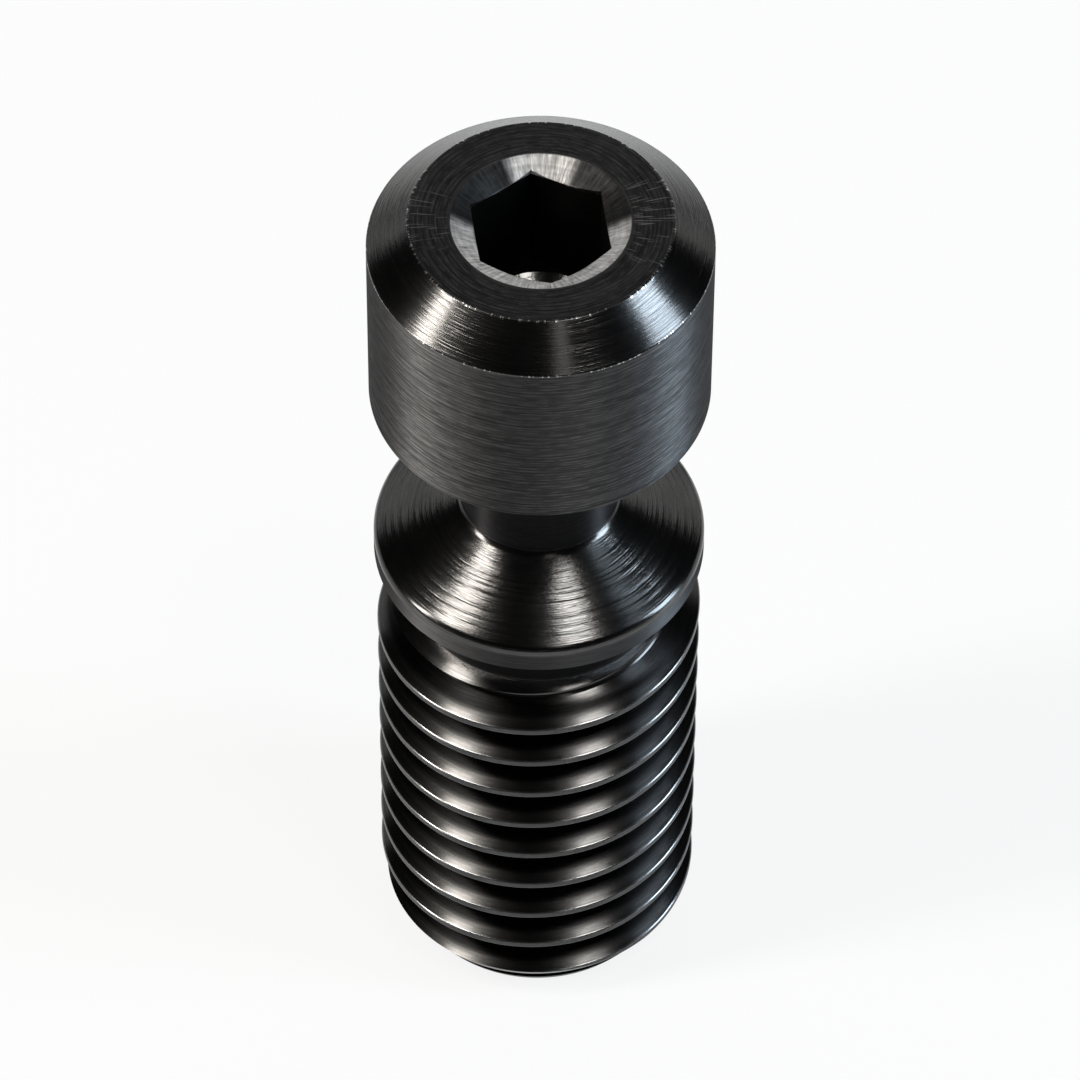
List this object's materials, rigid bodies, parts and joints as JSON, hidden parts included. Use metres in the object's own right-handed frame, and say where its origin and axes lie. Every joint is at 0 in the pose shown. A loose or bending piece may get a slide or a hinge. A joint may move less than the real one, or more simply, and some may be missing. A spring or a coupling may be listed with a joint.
{
  "type": "screw",
  "caption": "Black turned steel clamping screw with a chamfered hexagon-socket head, slim neck, conical collar, relief groove and metric threaded shank.",
  "frame": {"origin": "centre of the flat end face of the thread, on which the screw stands", "axes": "+Z along the screw's axis, from the thread's end towards the socket head"},
  "size_m": [0.0082, 0.0082, 0.0254],
  "materials": {
    "black_steel": "turned and blackened, oiled gloss"
  },
  "bodies": {
    "root": {"screw": "black_steel"}
  },
  "joints": []
}
